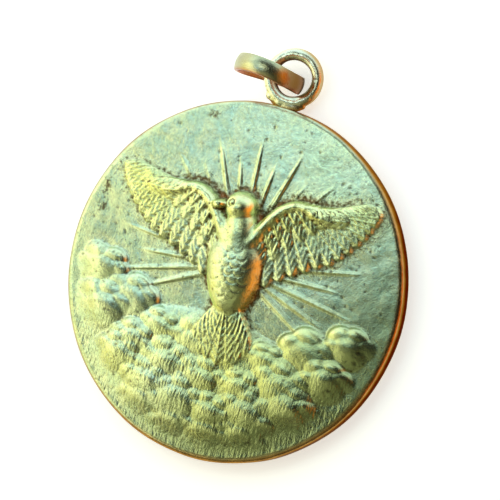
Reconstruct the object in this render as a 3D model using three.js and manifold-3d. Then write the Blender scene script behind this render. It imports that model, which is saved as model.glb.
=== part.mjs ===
// A round gilt devotional medal with a dove over clouds in relief, a soldered ear and a
// loose jump ring. Millimetres, +Z up. The medal lies on its flat back at z = 0, face up,
// with the ear toward +Y and the origin at the centre of the back.
import * as THREE from 'three';
import { mergeVertices } from 'three/addons/utils/BufferGeometryUtils.js';
import Module from 'manifold-3d';

const wasm = await Module();
wasm.setup();

// Disc
const MEDAL_DIAMETER = 22;
const MEDAL_THICKNESS = 1.2;
const BACK_BEVEL = 0.2;
const EDGE_ROUND_WIDTH = 0.36;
const EDGE_ROUND_DROP = 0.22;
const EDGE_ROUND_STEPS = 3;
const PLAIN_RIM_WIDTH = 0.45;
const DISC_SEGMENTS = 96;

// Relief, its heights measured from the field
const RELIEF_ROOT = 0.3;
const DOVE_SPAN = 16;
const DOVE_LENGTH = 10.6;
const DOVE_HEIGHT = 1.25;
const DOVE_TILT = THREE.MathUtils.degToRad(6);
const DOVE_OFFSET_X = 0.1;
const DOVE_OFFSET_Y = 1;
const FEATHER_WIDTH = 1.25;
const BEAK_LENGTH = 1.2;
const EYE_DIAMETER = 0.34;
const CLOUD_BANK_WIDTH = 17;
const CLOUD_BANK_DEPTH = 5.6;
const CLOUD_BANK_TOP = -4.6;
const CLOUD_HEIGHT = 0.7;
const RAY_LENGTH = 8.4;
const RAY_WIDTH = 0.62;
const RAY_HEIGHT = 0.12;
const RAY_SHORT_SHARE = 0.83;
const RAY_COUNT = 24;
const RAY_SIDES = 6;
const RAY_ARC = THREE.MathUtils.degToRad(236);

// Ear and its solder
const EAR_OUTER_DIAMETER = 3.7;
const EAR_WIRE = 0.78;
const EAR_TWIST = THREE.MathUtils.degToRad(10);
const EAR_SEAT = 0.05;
const SOLDER_WIDTH = 2.5;
const SOLDER_THICKNESS = 0.6;
const SOLDER_ANGLE = THREE.MathUtils.degToRad(46);
const SOLDER_CURVE_STEPS = 6;
const EAR_SIDES = 8;
const EAR_SEGMENTS = 26;

// Jump ring
const RING_OUTER_DIAMETER = 4.4;
const RING_WALL = 0.32;
const RING_BAND = 1.08;
const RING_CROWN = 0.1;
const RING_LEAN = THREE.MathUtils.degToRad(4);
const RING_TURN = THREE.MathUtils.degToRad(3.5);
const RING_WARP = 0.1;
const RING_BACKSET = 0.2;
const RING_CLEARANCE = 0.07;
const ROOM_UNDER_EAR = 0.35;
const FLOOR_CLEARANCE = 0.01;
const RING_SEGMENTS = 36;
const RING_CROWN_STEPS = 4;

// Worked out from the sizes above
const MEDAL_RADIUS = MEDAL_DIAMETER / 2;
const EAR_OUTER_RADIUS = EAR_OUTER_DIAMETER / 2;
const EAR_WIRE_RADIUS = EAR_WIRE / 2;
const EAR_MEAN_RADIUS = EAR_OUTER_RADIUS - EAR_WIRE_RADIUS;
const EAR_Y = MEDAL_RADIUS + EAR_OUTER_RADIUS - EAR_SEAT;
// The twisted ear's left side stands just high enough for the jump ring to pass beneath it.
const EAR_LEFT_Z = RING_WALL + ROOM_UNDER_EAR + EAR_WIRE_RADIUS;
const EAR_Z = EAR_LEFT_Z - EAR_MEAN_RADIUS * Math.sin(EAR_TWIST);
const RING_RADIUS = RING_OUTER_DIAMETER / 2;

// Wing feathers in rows, from the bottom layer up. Roots run along the wing bone from the
// shoulder (0) to the hand (1), angles are in degrees from straight out, lengths are shares
// of half the span, widths of the feather width and heights of the dove's height.
const WING_ROWS = [
  { count: 9, rootFrom: 1, rootTo: 0.56, angleFrom: 20, angleTo: -42,
    lengthFrom: 0.51, lengthTo: 0.52, width: 1, height: 0.3 },
  { count: 6, rootFrom: 0.52, rootTo: 0.08, angleFrom: -50, angleTo: -84,
    lengthFrom: 0.5, lengthTo: 0.43, width: 1, height: 0.36 },
  { count: 9, rootFrom: 1, rootTo: 0.1, angleFrom: 8, angleTo: -80,
    lengthFrom: 0.25, lengthTo: 0.28, width: 0.9, height: 0.46 },
  { count: 8, rootFrom: 0.97, rootTo: 0.1, angleFrom: -4, angleTo: -76,
    lengthFrom: 0.15, lengthTo: 0.17, width: 0.74, height: 0.56 },
];

// Points of the wing bone as shares of half the span, from the dove's middle.
const WING_BONE = { shoulderX: 0.1, shoulderY: 0.18, wristX: 0.36, wristY: 0.68, handX: 0.585, handY: 0.46 };
const WING_ARM = { halfWidth: 0.44, height: 0.7, links: 6 };

// Tail fan, its root and length as shares of the dove's length, its spread in degrees.
const TAIL = { count: 7, rootY: -0.2, length: 0.36, spread: 60, width: 1.1, height: 0.44 };

// Rounded masses of the body. Places and half sizes are shares of the dove's length, heights
// of its height, turns in degrees.
const BODY = { x: 0, y: -0.02, halfWidth: 0.178, halfLength: 0.285, height: 1, turn: 0, sides: 18, rings: 10 };
const NECK = { x: -0.008, y: 0.2, halfWidth: 0.114, halfLength: 0.16, height: 0.93, turn: 8, sides: 14, rings: 8 };
const HEAD = { x: -0.03, y: 0.33, halfWidth: 0.106, halfLength: 0.098, height: 1, turn: 12, sides: 14, rings: 8 };
const BEAK = { x: -0.1, y: 0.336, turn: 98, width: 0.46, height: 0.94 };
const EYE = { x: -0.066, y: 0.35 };

// Rows of puffs from the top of the bank down. Depths, widths and radii are shares of the
// bank's depth and width, heights of the cloud height, and the sag lifts the ends of a row.
const CLOUD_ROWS = [
  { count: 8, depth: 0, width: 1, radius: 0.28, height: 0.6, sag: 0.5, wave: 0.2 },
  { count: 7, depth: 0.33, width: 0.9, radius: 0.3, height: 0.8, sag: 0.42, wave: 0.16 },
  { count: 6, depth: 0.64, width: 0.68, radius: 0.31, height: 0.92, sag: 0.3, wave: 0.14 },
  { count: 4, depth: 0.88, width: 0.42, radius: 0.28, height: 0.8, sag: 0.12, wave: 0.1 },
];
// The low swell that the puffs stand on, as shares of the bank.
const CLOUD_SWELL = { depth: 0.36, halfWidth: 0.5, halfLength: 0.7, height: 0.62 };
const CLOUD_WAVE_STEP = 2.3;
const PUFF_WIDTH_SHARE = 1.12;
const PUFF_LENGTH_SHARE = 0.92;

const FEATHER_SIDES = 6;
const FEATHER_RINGS = 5;
const CLOUD_SIDES = 12;
const CLOUD_RINGS = 6;

const GILT = new THREE.MeshStandardMaterial({ color: 0xb9ae62, metalness: 1, roughness: 0.34 });
const GILT_DARK = new THREE.MeshStandardMaterial({ color: 0x9a8a5c, metalness: 1, roughness: 0.3 });

// Turns a closed three.js geometry into a solid, with doubled vertices merged.
function toSolid(geometry) {
  const bare = geometry.clone();
  bare.deleteAttribute('normal');
  bare.deleteAttribute('uv');
  const merged = mergeVertices(bare);
  const triangles = [];
  const index = merged.index.array;
  for (let i = 0; i < index.length; i += 3) {
    const [a, b, c] = [index[i], index[i + 1], index[i + 2]];
    if (a !== b && b !== c && c !== a) triangles.push(a, b, c);
  }
  return new wasm.Manifold(new wasm.Mesh({
    numProp: 3,
    vertProperties: new Float32Array(merged.attributes.position.array),
    triVerts: new Uint32Array(triangles),
  }));
}

// Turns a solid back into a three.js geometry.
function toGeometry(solid) {
  const mesh = solid.getMesh();
  const geometry = new THREE.BufferGeometry();
  geometry.setAttribute('position', new THREE.BufferAttribute(mesh.vertProperties, 3));
  geometry.setIndex(new THREE.BufferAttribute(mesh.triVerts, 1));
  geometry.computeVertexNormals();
  return geometry;
}

function join(solids) {
  return solids.reduce((whole, solid) => whole.add(solid));
}

// A flattened ellipsoid centred on the field, its long axis turned from +Y.
function dome({ x, y, halfWidth, halfLength, height, turn, sides, rings }) {
  const geometry = new THREE.SphereGeometry(1, sides, rings);
  geometry.scale(halfWidth, halfLength, height);
  geometry.rotateZ(turn);
  geometry.translate(x, y, MEDAL_THICKNESS);
  return toSolid(geometry);
}

// One feather: a slim dome that starts at its root and points along its angle from +X.
function feather({ rootX, rootY, angle, length, width, height }) {
  return dome({
    x: rootX + Math.cos(angle) * length / 2,
    y: rootY + Math.sin(angle) * length / 2,
    halfWidth: width / 2,
    halfLength: length / 2,
    height,
    turn: angle - Math.PI / 2,
    sides: FEATHER_SIDES,
    rings: FEATHER_RINGS,
  });
}

// The curve of a wing bone, from shoulder over the wrist to the hand.
function wingBone(side) {
  const half = DOVE_SPAN / 2;
  const at = (x, y) => new THREE.Vector2(side * x * half, y * half);
  return new THREE.QuadraticBezierCurve(
    at(WING_BONE.shoulderX, WING_BONE.shoulderY),
    at(WING_BONE.wristX, WING_BONE.wristY),
    at(WING_BONE.handX, WING_BONE.handY),
  );
}

function wingRow(row, side) {
  const bone = wingBone(side);
  const half = DOVE_SPAN / 2;
  return Array.from({ length: row.count }, (_, i) => {
    const share = i / (row.count - 1);
    const root = bone.getPoint(THREE.MathUtils.lerp(row.rootFrom, row.rootTo, share));
    const outward = THREE.MathUtils.degToRad(THREE.MathUtils.lerp(row.angleFrom, row.angleTo, share));
    return feather({
      rootX: root.x,
      rootY: root.y,
      angle: side > 0 ? outward : Math.PI - outward,
      length: half * THREE.MathUtils.lerp(row.lengthFrom, row.lengthTo, share),
      width: FEATHER_WIDTH * row.width,
      height: DOVE_HEIGHT * row.height,
    });
  });
}

// The fleshy leading edge of a wing, as domes strung along the bone.
function wingArm(side) {
  const bone = wingBone(side);
  const points = bone.getPoints(WING_ARM.links);
  return points.slice(1).map((end, i) => {
    const start = points[i];
    const along = new THREE.Vector2().subVectors(end, start);
    return dome({
      x: (start.x + end.x) / 2,
      y: (start.y + end.y) / 2,
      halfWidth: FEATHER_WIDTH * WING_ARM.halfWidth,
      halfLength: along.length(),
      height: DOVE_HEIGHT * WING_ARM.height,
      turn: along.angle() - Math.PI / 2,
      sides: FEATHER_SIDES,
      rings: FEATHER_RINGS,
    });
  });
}

function tail() {
  return Array.from({ length: TAIL.count }, (_, i) => {
    const share = i / (TAIL.count - 1) - 0.5;
    return feather({
      rootX: 0,
      rootY: TAIL.rootY * DOVE_LENGTH,
      angle: -Math.PI / 2 + THREE.MathUtils.degToRad(TAIL.spread) * share,
      length: TAIL.length * DOVE_LENGTH,
      width: FEATHER_WIDTH * TAIL.width,
      height: DOVE_HEIGHT * TAIL.height,
    });
  });
}

function bodyMass(part) {
  return dome({
    x: part.x * DOVE_LENGTH,
    y: part.y * DOVE_LENGTH,
    halfWidth: part.halfWidth * DOVE_LENGTH,
    halfLength: part.halfLength * DOVE_LENGTH,
    height: part.height * DOVE_HEIGHT,
    turn: THREE.MathUtils.degToRad(part.turn),
    sides: part.sides,
    rings: part.rings,
  });
}

function beak() {
  return feather({
    rootX: BEAK.x * DOVE_LENGTH,
    rootY: BEAK.y * DOVE_LENGTH,
    angle: THREE.MathUtils.degToRad(BEAK.turn) + Math.PI / 2,
    length: BEAK_LENGTH,
    width: BEAK.width * BEAK_LENGTH,
    height: BEAK.height * DOVE_HEIGHT,
  });
}

// The eye is a bead whose middle lies on the surface of the head.
function eye() {
  const across = (EYE.x - HEAD.x) / HEAD.halfWidth;
  const along = (EYE.y - HEAD.y) / HEAD.halfLength;
  const surface = HEAD.height * DOVE_HEIGHT * Math.sqrt(1 - across ** 2 - along ** 2);
  const geometry = new THREE.SphereGeometry(EYE_DIAMETER / 2, FEATHER_SIDES, FEATHER_RINGS);
  geometry.translate(EYE.x * DOVE_LENGTH, EYE.y * DOVE_LENGTH, MEDAL_THICKNESS + surface);
  return toSolid(geometry);
}

function dove() {
  const wings = [-1, 1].flatMap((side) => [
    ...WING_ROWS.flatMap((row) => wingRow(row, side)),
    ...wingArm(side),
  ]);
  const body = [BODY, NECK, HEAD].map(bodyMass);
  const whole = join([...wings, ...tail(), ...body, beak(), eye()]);
  return whole
    .rotate([0, 0, THREE.MathUtils.radToDeg(DOVE_TILT)])
    .translate([DOVE_OFFSET_X, DOVE_OFFSET_Y, 0]);
}

// A glory of slim rays, long and short by turns, over the upper field behind the dove.
function rays() {
  const solids = Array.from({ length: RAY_COUNT }, (_, i) => {
    const share = i / (RAY_COUNT - 1) - 0.5;
    const length = i % 2 === 0 ? RAY_LENGTH : RAY_LENGTH * RAY_SHORT_SHARE;
    const geometry = new THREE.ConeGeometry(RAY_WIDTH / 2, length, RAY_SIDES);
    geometry.scale(1, 1, 2 * RAY_HEIGHT / RAY_WIDTH);
    geometry.translate(0, length / 2, 0);
    geometry.rotateZ(RAY_ARC * share);
    geometry.translate(DOVE_OFFSET_X, DOVE_OFFSET_Y, MEDAL_THICKNESS);
    return toSolid(geometry);
  });
  return join(solids);
}

function cloudRow(row) {
  return Array.from({ length: row.count }, (_, i) => {
    const share = 2 * i / (row.count - 1) - 1;
    const swell = 1 + row.wave * Math.sin(i * CLOUD_WAVE_STEP + row.depth * row.count);
    const radius = row.radius * CLOUD_BANK_DEPTH * swell;
    return dome({
      x: share * row.width * CLOUD_BANK_WIDTH / 2,
      y: CLOUD_BANK_TOP - row.depth * CLOUD_BANK_DEPTH + share * share * row.sag * CLOUD_BANK_DEPTH,
      halfWidth: radius * PUFF_WIDTH_SHARE,
      halfLength: radius * PUFF_LENGTH_SHARE,
      height: CLOUD_HEIGHT * row.height,
      turn: 0,
      sides: CLOUD_SIDES,
      rings: CLOUD_RINGS,
    });
  });
}

function cloudSwell() {
  return dome({
    x: 0,
    y: CLOUD_BANK_TOP - CLOUD_SWELL.depth * CLOUD_BANK_DEPTH,
    halfWidth: CLOUD_SWELL.halfWidth * CLOUD_BANK_WIDTH,
    halfLength: CLOUD_SWELL.halfLength * CLOUD_BANK_DEPTH,
    height: CLOUD_SWELL.height * CLOUD_HEIGHT,
    turn: 0,
    sides: BODY.sides,
    rings: BODY.rings,
  });
}

function clouds() {
  return join([cloudSwell(), ...CLOUD_ROWS.flatMap(cloudRow)]);
}

// The part of the relief that stands on the field, inside the plain rim.
function reliefBounds() {
  const height = RELIEF_ROOT + 2 * DOVE_HEIGHT;
  const geometry = new THREE.CylinderGeometry(
    MEDAL_RADIUS - PLAIN_RIM_WIDTH,
    MEDAL_RADIUS - PLAIN_RIM_WIDTH,
    height,
    DISC_SEGMENTS,
  );
  geometry.rotateX(Math.PI / 2);
  geometry.translate(0, 0, MEDAL_THICKNESS - RELIEF_ROOT + height / 2);
  return toSolid(geometry);
}

// The worn front edge, a quarter ellipse from the side wall up to the field.
function roundedEdge() {
  return Array.from({ length: EDGE_ROUND_STEPS + 1 }, (_, i) => {
    const angle = Math.PI / 2 * i / EDGE_ROUND_STEPS;
    return new THREE.Vector2(
      MEDAL_RADIUS - EDGE_ROUND_WIDTH * (1 - Math.cos(angle)),
      MEDAL_THICKNESS - EDGE_ROUND_DROP * (1 - Math.sin(angle)),
    );
  });
}

function disc() {
  const profile = [
    new THREE.Vector2(0, 0),
    new THREE.Vector2(MEDAL_RADIUS - BACK_BEVEL, 0),
    new THREE.Vector2(MEDAL_RADIUS, BACK_BEVEL),
    ...roundedEdge(),
    new THREE.Vector2(0, MEDAL_THICKNESS),
  ];
  const geometry = new THREE.LatheGeometry(profile, DISC_SEGMENTS);
  geometry.rotateX(Math.PI / 2);
  return toSolid(geometry);
}

function ear() {
  const geometry = new THREE.TorusGeometry(EAR_MEAN_RADIUS, EAR_WIRE_RADIUS, EAR_SIDES, EAR_SEGMENTS);
  geometry.rotateY(EAR_TWIST);
  geometry.translate(0, EAR_Y, EAR_Z);
  return toSolid(geometry);
}

// The solder fills the two wedges between the rim and the foot of the ear.
function solder() {
  const foot = SOLDER_WIDTH / 2;
  const footY = Math.sqrt(MEDAL_RADIUS ** 2 - foot ** 2);
  const topX = EAR_MEAN_RADIUS * Math.sin(SOLDER_ANGLE);
  const topY = EAR_Y - EAR_MEAN_RADIUS * Math.cos(SOLDER_ANGLE);
  const shape = new THREE.Shape();
  shape.moveTo(-foot, footY - BACK_BEVEL);
  shape.lineTo(foot, footY - BACK_BEVEL);
  shape.lineTo(foot, footY);
  shape.quadraticCurveTo(topX, footY, topX, topY);
  shape.absarc(0, EAR_Y, EAR_MEAN_RADIUS, SOLDER_ANGLE - Math.PI / 2, -SOLDER_ANGLE - Math.PI / 2, true);
  shape.quadraticCurveTo(-topX, footY, -foot, footY);
  const geometry = new THREE.ExtrudeGeometry(shape, {
    depth: SOLDER_THICKNESS,
    bevelEnabled: false,
    curveSegments: SOLDER_CURVE_STEPS,
  });
  geometry.translate(0, 0, EAR_Z - SOLDER_THICKNESS / 2);
  return toSolid(geometry);
}

function medal() {
  const relief = join([dove(), rays(), clouds()]).intersect(reliefBounds());
  const solid = join([disc(), relief, ear(), solder()]);
  const mesh = new THREE.Mesh(toGeometry(solid), GILT);
  mesh.name = 'medal';
  return mesh;
}

// Section of the band as (radius, place along its width), flat inside and crowned outside.
function ringProfile() {
  const inner = RING_RADIUS - RING_WALL;
  const half = RING_BAND / 2;
  const shape = new THREE.Shape();
  shape.moveTo(inner, -half);
  shape.lineTo(RING_RADIUS - RING_CROWN, -half);
  shape.quadraticCurveTo(RING_RADIUS + RING_CROWN, 0, RING_RADIUS - RING_CROWN, half);
  shape.lineTo(inner, half);
  shape.closePath();
  return shape.getPoints(RING_CROWN_STEPS);
}

// Height of the ring's centre when it stands on its leaning band.
function ringCentreZ() {
  const reaches = ringProfile().map((point) => (
    point.x * Math.cos(RING_LEAN) + (point.y + RING_WARP) * Math.sin(RING_LEAN)
  ));
  return Math.max(...reaches) + FLOOR_CLEARANCE;
}

// Where the middle of the ear's wire passes, at a distance along Y from the ear's centre.
function earWireAt(side, alongY) {
  const reach = side * Math.sqrt(EAR_MEAN_RADIUS ** 2 - alongY ** 2);
  return { x: reach * Math.cos(EAR_TWIST), z: EAR_Z - reach * Math.sin(EAR_TWIST) };
}

// How far the ring's centre lies to the left of the ear's. The right wire is just clear of
// the outside of the band at its edges, and the left wire just clear of the inside.
function ringOffset() {
  const edge = RING_BAND / 2 + RING_BACKSET + RING_RADIUS * Math.sin(RING_TURN);
  const room = EAR_WIRE_RADIUS + RING_BAND / 2 * Math.sin(RING_LEAN) + RING_CLEARANCE;
  const right = earWireAt(1, edge);
  const left = earWireAt(-1, 0);
  const dropTo = (wire) => (ringCentreZ() - wire.z) / Math.cos(RING_LEAN);
  const outside = Math.sqrt((RING_RADIUS + room) ** 2 - dropTo(right) ** 2) - right.x;
  const inside = -left.x - Math.sqrt((RING_RADIUS - RING_WALL - room) ** 2 - dropTo(left) ** 2);
  return Math.max(outside, inside);
}

// The ring was opened and closed by hand, so its top and foot bow away from its sides.
function warp(geometry) {
  const place = geometry.attributes.position;
  for (let i = 0; i < place.count; i += 1) {
    const across = place.getX(i) ** 2;
    const upright = place.getZ(i) ** 2;
    place.setY(i, place.getY(i) + RING_WARP * (upright - across) / (upright + across));
  }
  return geometry;
}

function jumpRing() {
  const geometry = warp(new THREE.LatheGeometry(ringProfile(), RING_SEGMENTS));
  const mesh = new THREE.Mesh(toGeometry(toSolid(geometry)), GILT_DARK);
  const centreZ = ringCentreZ();
  const behind = RING_BACKSET - (centreZ - EAR_Z) * Math.tan(RING_LEAN);
  mesh.name = 'jump_ring';
  mesh.rotation.set(-RING_LEAN, 0, -RING_TURN, 'ZYX');
  mesh.position.set(-ringOffset(), EAR_Y - behind, centreZ);
  return mesh;
}

const part = new THREE.Group();
part.add(medal(), jumpRing());
export default part;
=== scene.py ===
"""Looks of a round gilt medal with its soldered ear and loose jump ring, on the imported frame."""
import logging
import math
from dataclasses import dataclass, field
from enum import Enum

import bmesh
import bpy
import numpy as np
from mathutils import Matrix, Vector


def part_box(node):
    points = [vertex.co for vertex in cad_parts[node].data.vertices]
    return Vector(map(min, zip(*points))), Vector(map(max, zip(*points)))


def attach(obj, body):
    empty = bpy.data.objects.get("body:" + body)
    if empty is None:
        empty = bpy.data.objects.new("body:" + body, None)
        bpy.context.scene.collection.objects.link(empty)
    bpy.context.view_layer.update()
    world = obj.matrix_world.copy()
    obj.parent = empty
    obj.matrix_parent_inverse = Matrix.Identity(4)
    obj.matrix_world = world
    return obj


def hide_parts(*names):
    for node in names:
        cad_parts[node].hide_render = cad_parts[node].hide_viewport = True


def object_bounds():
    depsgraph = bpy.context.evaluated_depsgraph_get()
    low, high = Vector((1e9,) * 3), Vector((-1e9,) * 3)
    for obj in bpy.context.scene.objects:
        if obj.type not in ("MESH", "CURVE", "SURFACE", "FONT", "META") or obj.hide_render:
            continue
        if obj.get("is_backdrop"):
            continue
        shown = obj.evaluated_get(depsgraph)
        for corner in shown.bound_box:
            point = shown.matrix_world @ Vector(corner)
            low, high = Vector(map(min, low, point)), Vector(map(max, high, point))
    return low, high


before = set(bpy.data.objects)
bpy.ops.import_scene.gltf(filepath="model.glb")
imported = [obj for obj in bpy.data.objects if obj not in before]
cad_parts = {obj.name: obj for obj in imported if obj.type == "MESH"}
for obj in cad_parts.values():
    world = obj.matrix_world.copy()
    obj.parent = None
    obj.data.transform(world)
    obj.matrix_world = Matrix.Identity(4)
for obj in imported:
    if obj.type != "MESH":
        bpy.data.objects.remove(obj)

MM = 0.001
# The points of a rounded form are looked for within this many half sizes of its middle.
SEARCH = 1.3
LOG = logging.getLogger("medal")
Place = tuple[float, float]
Colour = tuple[float, float, float, float]
Sockets = dict[str, bpy.types.NodeSocket]


class Slot(Enum):
    """Material slots of the record."""

    MEDAL = "gilt_medal"
    RING = "gilt_ring"


def linear(colour: str) -> Colour:
    """Turn an sRGB hex colour into linear light.

    Args:
        colour: A hash sign and six hex digits.

    Returns:
        Red, green, blue and alpha.
    """
    shares = [int(colour[i:i + 2], 16) / 255.0 for i in (1, 3, 5)]
    curved = [c / 12.92 if c <= 0.04045 else ((c + 0.055) / 1.055) ** 2.4 for c in shares]
    return curved[0], curved[1], curved[2], 1.0


def per(size_mm: float) -> float:
    """Give the texture scale whose features are about size_mm across."""
    return 1.0 / (size_mm * MM)


def add_node(tree: bpy.types.NodeTree, kind: str, settings: dict | None = None,
             inputs: dict | None = None) -> bpy.types.Node:
    """Add a node with its settings, input values and links.

    Args:
        tree: Node tree that takes the node.
        kind: Blender's name for the kind of node.
        settings: Attribute values of the node.
        inputs: Value, or output socket to link from, for each input by name or number.

    Returns:
        The new node.
    """
    node = tree.nodes.new(kind)
    for name, value in (settings or {}).items():
        setattr(node, name, value)
    for socket, value in (inputs or {}).items():
        if isinstance(value, bpy.types.NodeSocket):
            tree.links.new(value, node.inputs[socket])
        else:
            node.inputs[socket].default_value = value
    return node


def empty_material(name: str) -> bpy.types.Material:
    """Add a material whose node tree is still empty.

    Args:
        name: Name of the metal and how its surface was made.

    Returns:
        The new material.
    """
    material = bpy.data.materials.new(name)
    material.use_nodes = True
    material.node_tree.nodes.clear()
    return material


def smooth_step(low: float, high: float, value: np.ndarray) -> np.ndarray:
    """Ramp from 0 at low to 1 at high with soft ends."""
    share = np.clip((value - low) / (high - low), 0.0, 1.0)
    return share * share * (3.0 - 2.0 * share)


def waves(x: np.ndarray, y: np.ndarray, length: float, seed: int) -> np.ndarray:
    """Sum a few seeded plane waves into a soft, repeatable ripple.

    Args:
        x: Places across, in millimetres.
        y: Places up, in millimetres.
        length: Middle wavelength, in millimetres.
        seed: Seed of the directions, lengths and phases.

    Returns:
        The ripple at each point, from about -1 to 1.
    """
    rng = np.random.default_rng(seed)
    total = np.zeros_like(x)
    count = 9
    for _ in range(count):
        angle, phase = rng.uniform(0.0, 2.0 * math.pi, 2)
        pitch = 2.0 * math.pi / length * rng.uniform(0.6, 1.5)
        total += np.sin((x * math.cos(angle) + y * math.sin(angle)) * pitch + phase)
    return total / count * 2.0


def make_piece(name: str, points: np.ndarray, faces: list,
               node: str) -> bpy.types.Object:
    """Make a smooth mesh piece that rides on the root body and stands for a CAD node.

    Args:
        name: Name of the piece.
        points: Vertices, in millimetres in the frame of the CAD.
        faces: Vertex numbers of each face.
        node: CAD node that the piece replaces.

    Returns:
        The new object, linked to the scene.
    """
    mesh = bpy.data.meshes.new(name)
    mesh.from_pydata((np.asarray(points) * MM).tolist(), [], faces)
    mesh.polygons.foreach_set("use_smooth", [True] * len(mesh.polygons))
    mesh.update()
    piece = bpy.data.objects.new(name, mesh)
    bpy.context.scene.collection.objects.link(piece)
    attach(piece, "root")
    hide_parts(node)
    return piece


def paint(piece: bpy.types.Object, name: str, values: np.ndarray) -> None:
    """Store one number per vertex for the material to read."""
    layer = piece.data.attributes.new(name, "FLOAT", "POINT")
    layer.data.foreach_set("value", np.ascontiguousarray(values, dtype=np.float32))


@dataclass
class Surface:
    """Heights over a cloud of points on the face, in millimetres."""

    x: np.ndarray
    y: np.ndarray
    z: np.ndarray = field(init=False)

    def __post_init__(self) -> None:
        """Start flat."""
        self.z = np.zeros_like(self.x)

    def near(self, x: float, y: float, reach: float) -> np.ndarray:
        """Find the points within reach of a place."""
        return np.nonzero(np.hypot(self.x - x, self.y - y) < reach)[0]

    def lay(self, points: np.ndarray, height: np.ndarray, soft: float = 0.0) -> None:
        """Lay a form over the surface, the higher of the two showing.

        Args:
            points: Indices of the points that the form covers.
            height: The form's height at each of them, 0 outside it.
            soft: Depth over which the two melt into each other where both stand up.
        """
        under = self.z[points]
        top = np.maximum(under, height)
        if soft > 0.0:
            share = np.clip(0.5 + 0.5 * (under - height) / soft, 0.0, 1.0)
            melted = height * (1.0 - share) + under * share + soft * share * (1.0 - share)
            both = np.clip(np.minimum(under, height) / soft, 0.0, 1.0)
            top = top * (1.0 - both) + melted * both
        self.z[points] = top


@dataclass(frozen=True)
class Feather:
    """One flight, tail or covert feather, laid flat and pointing along its angle."""

    root: Place
    angle: float
    length: float
    width: float
    height: float
    side: float = 0.0
    bow: float = 0.06
    # Outline, as shares: how narrow it starts, where it is widest and how blunt it ends.
    neck: float = 0.62
    widest: float = 0.6
    bluntness: float = 2.6
    # Vane, as shares of the height: its edge, its crown, its lean and how much its tip sinks.
    edge: float = 0.60
    crown: float = 0.32
    lean: float = 0.14
    tip_drop: float = 0.26
    quill_share: float = 0.10
    quill_width: float = 0.05
    barb_pitch: float = 0.46
    barb_depth: float = 0.018
    barb_slant: float = 1.4
    # Points are looked for within this share of the length from the middle, and a width.
    search: float = 0.62

    def lay_on(self, surface: Surface) -> None:
        """Raise the vane, its quill and its barbs, one edge over the next feather.

        Args:
            surface: Surface that takes the feather.
        """
        cos, sin = math.cos(self.angle), math.sin(self.angle)
        middle = (self.root[0] + cos * self.length / 2.0, self.root[1] + sin * self.length / 2.0)
        near = surface.near(*middle, reach=self.length * self.search + self.width)
        dx = surface.x[near] - self.root[0]
        dy = surface.y[near] - self.root[1]
        along = (dx * cos + dy * sin) / self.length
        share = np.clip(along, 0.0, 1.0)
        across = -dx * sin + dy * cos + self.side * self.bow * self.length * share**2
        place = across / np.maximum(self._half_width(share), 1e-4)
        inside = (along > 0.0) & (along < 1.0) & (np.abs(place) < 1.0)
        place = np.clip(place, -1.0, 1.0)
        vane = self.edge + self.crown * np.sqrt(1.0 - place**2) + self.side * self.lean * place
        vane *= self.height * (1.0 - self.tip_drop * share**2.5)
        quill = self.quill_share * self.height * np.exp(-((across / self.quill_width) ** 2))
        quill *= (1.0 - share) ** 0.4
        run = share * self.length + self.barb_slant * np.abs(across)
        barbs = self.barb_depth * np.sin(2.0 * np.pi * run / self.barb_pitch)
        barbs *= np.clip(np.abs(across) / (2.0 * self.quill_width), 0.0, 1.0)
        surface.lay(near, np.where(inside, vane + quill + barbs, 0.0))

    def _half_width(self, share: np.ndarray) -> np.ndarray:
        """Give half the width of the vane.

        Args:
            share: Places along the feather, from 0 at its root to 1 at its tip.

        Returns:
            Half the width at each place, in millimetres.
        """
        rise = np.sin(np.pi / 2.0 * np.clip(share / self.widest, 0.0, 1.0))
        narrow = self.neck + (1.0 - self.neck) * rise
        past = np.clip(share - self.widest, 0.0, 1.0) / (1.0 - self.widest)
        blunt = np.sqrt(np.clip(1.0 - past**self.bluntness, 0.0, 1.0))
        return self.width / 2.0 * np.where(share > self.widest, blunt, narrow)


@dataclass(frozen=True)
class Mass:
    """A rounded mass: a flattened ellipsoid, fuller toward the end it swells to."""

    x: float
    y: float
    half_width: float
    half_length: float
    height: float
    turn: float = 0.0
    swell: float = 0.0
    soft: float = 0.0

    def scaled(self, length: float, height: float) -> "Mass":
        """Turn a mass given in shares into one in millimetres.

        Args:
            length: What the shares of places and half sizes follow.
            height: What the share of the height follows.

        Returns:
            The mass in millimetres.
        """
        return Mass(self.x * length, self.y * length, self.half_width * length,
                    self.half_length * length, self.height * height,
                    self.turn, self.swell, self.soft)

    def lay_on(self, surface: Surface) -> None:
        """Raise the mass.

        Args:
            surface: Surface that takes it.
        """
        near = surface.near(self.x, self.y, SEARCH * max(self.half_width, self.half_length))
        dx, dy = surface.x[near] - self.x, surface.y[near] - self.y
        across = dx * math.cos(self.turn) + dy * math.sin(self.turn)
        along = (-dx * math.sin(self.turn) + dy * math.cos(self.turn)) / self.half_length
        wide = self.half_width * (1.0 + self.swell * np.clip(along, -1.0, 1.0))
        inside = np.clip(1.0 - (across / wide) ** 2 - along**2, 0.0, None)
        surface.lay(near, self.height * np.sqrt(inside), self.soft)


@dataclass(frozen=True)
class WingRow:
    """A row of wing feathers; shares follow half the span and the feather width."""

    count: int
    root_from: float
    root_to: float
    angle_from: float
    angle_to: float
    length_from: float
    length_to: float
    width: float
    height: float
    # Each feather stands a little higher than the one before it.
    step: float = 0.012


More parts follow.
